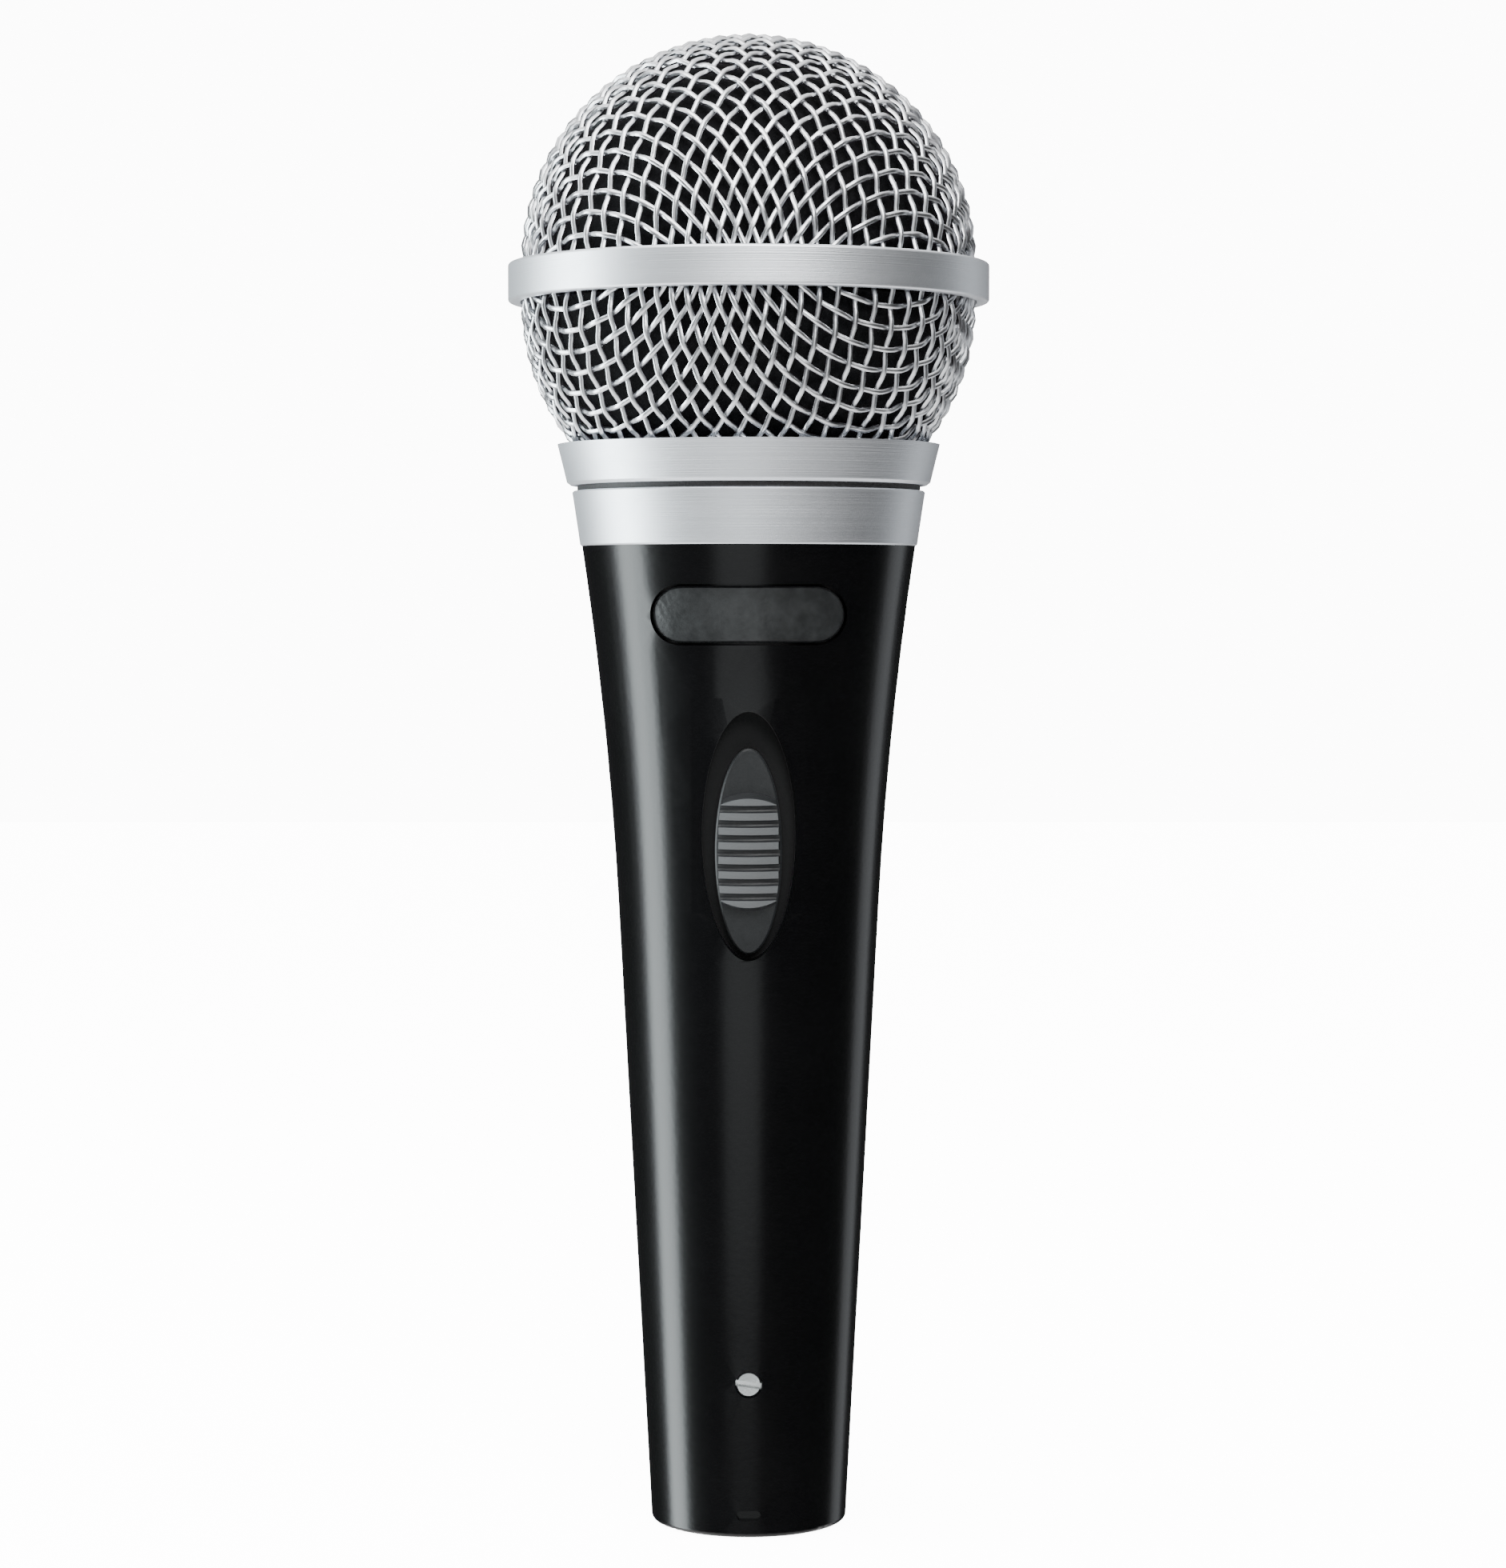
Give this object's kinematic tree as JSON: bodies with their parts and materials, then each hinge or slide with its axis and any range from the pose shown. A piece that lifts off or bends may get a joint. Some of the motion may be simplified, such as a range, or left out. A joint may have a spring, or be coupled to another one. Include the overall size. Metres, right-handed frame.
{
  "type": "dynamic microphone",
  "caption": "Handheld dynamic vocal microphone: tapered black handle with slide switch, silver rings, woven ball grille and a pin connector socket in its end.",
  "frame": {"origin": "centre of the flat connector end of the handle", "axes": "+Z along the microphone's axis, from the connector end to the top of the grille; -Y is the side with the switch and the badge; +X is to the right when that side is looked at"},
  "size_m": [0.0558, 0.0558, 0.1726],
  "materials": {
    "body_paint": "satin gloss black lacquer on die-cast metal",
    "silver_ring": "fine matt silver",
    "grille_wire": "silver plated woven steel wire",
    "foam": "open-cell pop foam",
    "gasket_rubber": "black rubber",
    "badge": "blank satin badge",
    "knob_plastic": "dark grey moulded plastic",
    "switch_plastic": "moulded plastic",
    "switch_metal": "tinned steel",
    "screw_steel": "bright plated steel",
    "insert_plastic": "black glass-filled plastic",
    "contact_metal": "plated brass",
    "tinned_metal": "tinned sheet",
    "mount_rubber": "soft black rubber",
    "cartridge_plastic": "black plastic",
    "magnet_alloy": "sintered magnet",
    "pole_steel": "plated soft iron",
    "copper_coil": "enamelled copper wire",
    "film": "thin polyester film",
    "cloth": "woven acoustic cloth",
    "felt": "grey felt",
    "board": "phenolic board",
    "lead_red": "red insulation",
    "lead_blue": "blue insulation"
  },
  "bodies": {
    "handle_body": {"handle": "body_paint", "neck_ring": "silver_ring", "nameplate": "badge", "xlr_insert": "insert_plastic", "xlr_pin_1": "contact_metal", "xlr_pin_2": "contact_metal", "xlr_pin_3": "contact_metal", "xlr_lock_screw": "screw_steel", "xlr_ground_tab": "tinned_metal", "switch_plate": "switch_metal", "switch_screws": "screw_steel", "switch_housing": "switch_plastic", "switch_lugs": "tinned_metal", "cartridge_housing": "cartridge_plastic", "shock_mount": "mount_rubber", "magnet_cup": "pole_steel", "magnet": "magnet_alloy", "pole_piece": "pole_steel", "magnet_carrier": "cartridge_plastic", "diaphragm_surround": "film", "diaphragm_clamp_ring": "cartridge_plastic", "resonator_cap": "cartridge_plastic", "front_cloth": "cloth", "damping_felt": "felt", "terminal_board": "board", "cartridge_lugs": "tinned_metal", "lead_cartridge_hot": "lead_red", "lead_cartridge_cold": "lead_blue", "lead_output_hot": "lead_red", "lead_output_cold": "lead_blue"},
    "grille_ring_seal": {"grille_gasket": "gasket_rubber"},
    "grille": {"grille_band": "silver_ring", "grille_collar": "silver_ring", "upper_mesh": "grille_wire", "lower_mesh": "grille_wire", "upper_foam": "foam", "lower_foam": "foam"},
    "switch_slider": {"switch_knob": "knob_plastic", "switch_lever": "switch_plastic", "switch_contacts": "contact_metal"},
    "diaphragm": {"diaphragm_dome": "film", "voice_coil": "copper_coil"}
  },
  "joints": [
    {"name": "grille_lift", "type": "slide", "parent": "handle_body", "child": "grille_ring_seal", "axis": [0, 0, 1], "range_m": [0, 0.05]},
    {"name": "grille_turn", "type": "hinge", "parent": "grille_ring_seal", "child": "grille", "pos_m": [0, 0, 0.1226], "axis": [0, 0, 1], "range_deg": [0, 1080]},
    {"name": "switch_slide", "type": "slide", "parent": "handle_body", "child": "switch_slider", "axis": [0, -0.0739, 0.9973], "range_m": [0, 0.0036]},
    {"name": "diaphragm_travel", "type": "slide", "parent": "handle_body", "child": "diaphragm", "axis": [0, 0, 1], "range_m": [-0.00025, 0.00025], "stiffness_N_per_m": 230, "deforming": ["diaphragm_surround"]}
  ]
}
